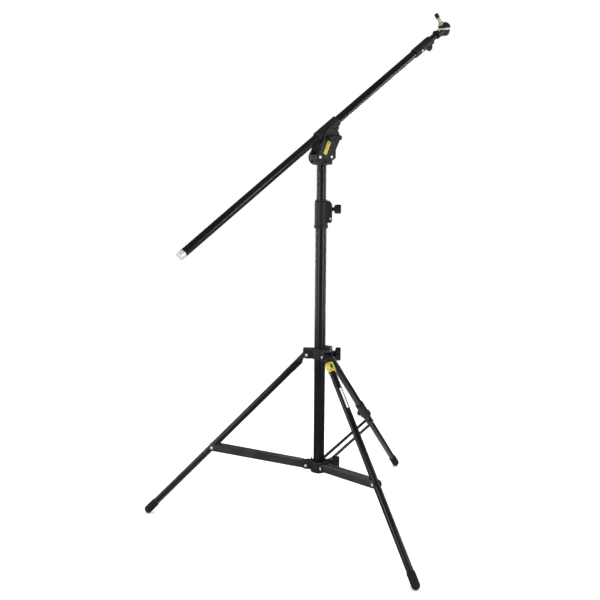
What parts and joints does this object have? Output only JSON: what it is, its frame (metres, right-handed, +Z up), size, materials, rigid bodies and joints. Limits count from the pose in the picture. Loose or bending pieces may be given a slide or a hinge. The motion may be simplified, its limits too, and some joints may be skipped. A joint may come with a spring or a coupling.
{
  "type": "boom light stand",
  "caption": "Folding light stand with a levelling leg, telescoping column and a tilting, sliding boom that carries a spigot head.",
  "frame": {"origin": "on the floor, in the middle of the stand's plan outline; the column stands 13 mm towards -X and 91 mm towards +Y of it", "axes": "+Z up; the boom lies in the XZ plane and rises towards +X; +Y is the side away from the boom's tilt knob"},
  "size_m": [1.0605, 0.9404, 1.6202],
  "materials": {
    "black_tube": "gloss black anodised tube",
    "black_casting": "fine textured black powder coat",
    "dark_brace": "dull dark grey paint on steel",
    "black_plastic": "fine moulded texture",
    "black_rubber": "matt rubber",
    "black_nylon": "satin nylon",
    "zinc": "bright zinc plating",
    "bare_aluminium": "turned bare metal",
    "brass": "polished, slightly tarnished",
    "yellow_label": "satin printed label",
    "white_label": "satin printed marking"
  },
  "bodies": {
    "base": {"column_tube": "black_tube", "column_end_plug": "black_plastic", "lower_hub": "black_casting", "hub_catch_peg": "black_plastic", "hub_pin_back": "zinc", "hub_pin_left": "zinc", "hub_pin_front": "zinc", "riser_lock_collar": "black_casting", "riser_bush": "black_nylon"},
    "hub_knob": {"lower_hub_knob": "black_plastic"},
    "leg_collar": {"leg_collar": "black_casting", "leg_collar_bush": "black_nylon", "leg_pin_back": "zinc", "leg_pin_left": "zinc", "leg_pin_front": "zinc"},
    "collar_knob": {"leg_collar_knob": "black_plastic"},
    "brace_left": {"brace_left": "dark_brace", "brace_pin_left": "zinc"},
    "brace_front": {"brace_front": "dark_brace", "brace_pin_front": "zinc"},
    "brace_back": {"brace_back_near_bar": "dark_brace", "brace_back_far_bar": "dark_brace", "brace_screw_back_near": "zinc", "brace_screw_back_far": "zinc"},
    "leg_left": {"leg_tube_left": "black_tube", "leg_top_left": "black_casting", "foot_left": "black_rubber"},
    "leg_front": {"leg_tube_front": "black_tube", "leg_top_front": "black_casting", "foot_front": "black_rubber"},
    "leg_back": {"leg_tube_back": "black_tube", "leg_top_back": "black_casting", "levelling_clamp": "black_casting"},
    "levelling_leg": {"levelling_tube": "black_tube", "foot_back": "black_rubber"},
    "levelling_knob": {"levelling_knob": "black_plastic"},
    "riser_carriage": {"riser_foot_bush": "black_nylon"},
    "riser": {"riser_tube": "black_tube", "head_socket": "black_casting", "head_cheek_near": "black_casting", "head_cheek_far": "black_casting", "head_bolt_rear": "zinc", "head_bolt_front": "zinc", "tilt_bolt": "zinc"},
    "riser_knob": {"riser_lock_knob": "black_plastic"},
    "socket_knob": {"socket_lock_knob": "black_plastic"},
    "tilt_knob": {"tilt_knob": "black_plastic"},
    "boom_sleeve": {"boom_sleeve": "black_casting", "boom_sleeve_liner": "black_nylon"},
    "boom": {"boom_tube": "black_tube", "boom_tail_plug": "bare_aluminium", "extension_clamp": "black_casting"},
    "clamp_knob": {"extension_clamp_knob": "black_plastic"},
    "extension": {"extension_tube": "black_tube", "spigot_base": "black_casting", "swivel_disc": "zinc"},
    "spigot_head": {"spigot_block": "black_casting", "spigot": "brass", "spigot_cap": "black_plastic"}
  },
  "joints": [
    {"name": "leg_collar_slide", "type": "slide", "parent": "base", "child": "leg_collar", "axis": [0, 0, 1], "range_m": [0, 0.378]},
    {"name": "brace_back_fold", "type": "hinge", "parent": "base", "child": "brace_back", "pos_m": [0.02701, 0.10457, 0.179], "axis": [0.3256, -0.9455, 0], "range_deg": [0, 76.7]},
    {"name": "leg_back_fold", "type": "hinge", "parent": "brace_back", "child": "leg_back", "pos_m": [0.31432, 0.2035, 0.23143], "axis": [0.3256, -0.9455, 0], "range_deg": [-118.3, 0]},
    {"name": "brace_left_fold", "type": "hinge", "parent": "base", "child": "brace_left", "pos_m": [-0.0444, 0.11845, 0.179], "axis": [0.6561, 0.7547, 0], "range_deg": [0, 76.7]},
    {"name": "leg_left_fold", "type": "hinge", "parent": "brace_left", "child": "leg_left", "pos_m": [-0.27373, 0.31781, 0.23143], "axis": [0.6561, 0.7547, 0], "range_deg": [-118.3, 0]},
    {"name": "brace_front_fold", "type": "hinge", "parent": "base", "child": "brace_front", "pos_m": [-0.02071, 0.04967, 0.179], "axis": [-0.9816, 0.1908, 0], "range_deg": [0, 76.7]},
    {"name": "leg_front_fold", "type": "hinge", "parent": "brace_front", "child": "leg_front", "pos_m": [-0.0787, -0.24861, 0.23143], "axis": [-0.9816, 0.1908, 0], "range_deg": [-118.3, 0]},
    {"name": "levelling_slide", "type": "slide", "parent": "leg_back", "child": "levelling_leg", "axis": [-0.658, -0.2266, 0.7181], "range_m": [-0.24, 0.08]},
    {"name": "hub_knob_turn", "type": "hinge", "parent": "base", "child": "hub_knob", "pos_m": [0.02126, 0.06138, 0.188], "axis": [0.7547, -0.6561, 0], "range_deg": [0, 180]},
    {"name": "collar_knob_turn", "type": "hinge", "parent": "leg_collar", "child": "collar_knob", "pos_m": [0.03032, 0.0535, 0.546], "axis": [0.7547, -0.6561, 0], "range_deg": [0, 180]},
    {"name": "riser_knob_turn", "type": "hinge", "parent": "base", "child": "riser_knob", "pos_m": [0.02579, 0.05744, 1.004], "axis": [0.7547, -0.6561, 0], "range_deg": [0, 180]},
    {"name": "levelling_knob_turn", "type": "hinge", "parent": "leg_back", "child": "levelling_knob", "pos_m": [0.2758, 0.21139, 0.26637], "axis": [-0.3256, 0.9455, 0], "range_deg": [0, 180]},
    {"name": "riser_slide", "type": "slide", "parent": "base", "child": "riser_carriage", "axis": [0, 0, 1], "range_m": [-0.105, 0.6]},
    {"name": "riser_turn", "type": "hinge", "parent": "riser_carriage", "child": "riser", "pos_m": [-0.0127, 0.0909, 1], "axis": [0, 0, 1], "continuous": true},
    {"name": "socket_knob_turn", "type": "hinge", "parent": "riser", "child": "socket_knob", "pos_m": [-0.0127, 0.1259, 1.161], "axis": [0, 1, 0], "range_deg": [0, 180]},
    {"name": "boom_tilt", "type": "hinge", "parent": "riser", "child": "boom_sleeve", "pos_m": [0.0098, 0.0909, 1.2205], "axis": [0, -1, 0], "range_deg": [-75, 15]},
    {"name": "tilt_knob_turn", "type": "hinge", "parent": "riser", "child": "tilt_knob", "pos_m": [0.0098, 0.0559, 1.2205], "axis": [0, -1, 0], "range_deg": [0, 180]},
    {"name": "boom_slide", "type": "slide", "parent": "boom_sleeve", "child": "boom", "axis": [0.8368, 0, 0.5476], "range_m": [-0.385, 0.56]},
    {"name": "clamp_knob_turn", "type": "hinge", "parent": "boom", "child": "clamp_knob", "pos_m": [0.46556, 0.11306, 1.51176], "axis": [0.4315, 0.6157, -0.6594], "range_deg": [0, 180]},
    {"name": "extension_slide", "type": "slide", "parent": "boom", "child": "extension", "axis": [0.8368, 0, 0.5476], "range_m": [-0.012, 0.38]},
    {"name": "spigot_swivel", "type": "hinge", "parent": "extension", "child": "spigot_head", "pos_m": [0.50903, 0.0909, 1.57136], "axis": [-0.1201, 0, 0.9928], "continuous": true}
  ],
  "couplings": [
    {"joint": "brace_back_fold", "follows": "leg_collar_slide", "rad_per_m": 3.54},
    {"joint": "leg_back_fold", "follows": "leg_collar_slide", "rad_per_m": -5.4608},
    {"joint": "brace_left_fold", "follows": "leg_collar_slide", "rad_per_m": 3.54},
    {"joint": "leg_left_fold", "follows": "leg_collar_slide", "rad_per_m": -5.4608},
    {"joint": "brace_front_fold", "follows": "leg_collar_slide", "rad_per_m": 3.54},
    {"joint": "leg_front_fold", "follows": "leg_collar_slide", "rad_per_m": -5.4608}
  ]
}
